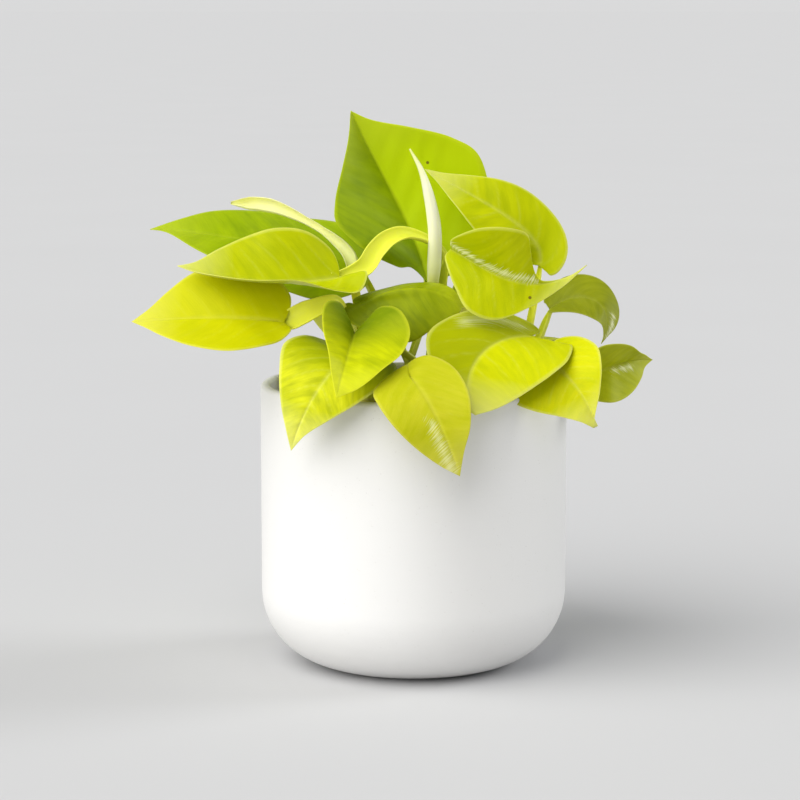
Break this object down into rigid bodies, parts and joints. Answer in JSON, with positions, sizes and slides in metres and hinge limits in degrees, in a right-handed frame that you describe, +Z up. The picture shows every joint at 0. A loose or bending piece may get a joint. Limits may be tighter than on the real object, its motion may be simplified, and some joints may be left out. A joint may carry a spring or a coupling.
{
  "type": "potted golden pothos",
  "caption": "Bushy chartreuse pothos with heart-shaped leaves on channelled stalks, standing in potting mix in a plain cylindrical white ceramic pot with a rounded bottom edge.",
  "frame": {"origin": "centre of the pot's flat underside", "axes": "+Z up along the pot's axis, -Y towards the plant's best side, +X to the right as seen from there"},
  "size_m": [0.2704, 0.2339, 0.288],
  "materials": {
    "pot_ceramic": "matte",
    "potting_mix": "matte",
    "stem": "satin",
    "leaf": "satin",
    "leaf_green": "satin",
    "leaf_new": "satin"
  },
  "bodies": {
    "root": {"pot": "pot_ceramic", "potting_mix": "potting_mix", "stem_left": "stem", "stem_back_left": "stem", "stem_middle": "stem", "stem_right": "stem", "stem_front_right": "stem", "stem_front": "stem", "stem_back": "stem", "leaf_new_left": "leaf_new", "leaf_new_middle": "leaf_new", "leaf_left_low": "leaf", "leaf_left_middle": "leaf", "leaf_left_high": "leaf_green", "leaf_top": "leaf_green", "leaf_right_high": "leaf_green", "leaf_cupped": "leaf", "leaf_heart": "leaf", "leaf_middle": "leaf_green", "leaf_front_left": "leaf", "leaf_front": "leaf", "leaf_front_right": "leaf", "leaf_right_low": "leaf", "leaf_right_small": "leaf_green", "leaf_right_middle": "leaf", "leaf_back_left": "leaf", "leaf_back_middle": "leaf", "leaf_back_right": "leaf", "leaf_back_low": "leaf", "leaf_back_high": "leaf_green"}
  },
  "joints": []
}
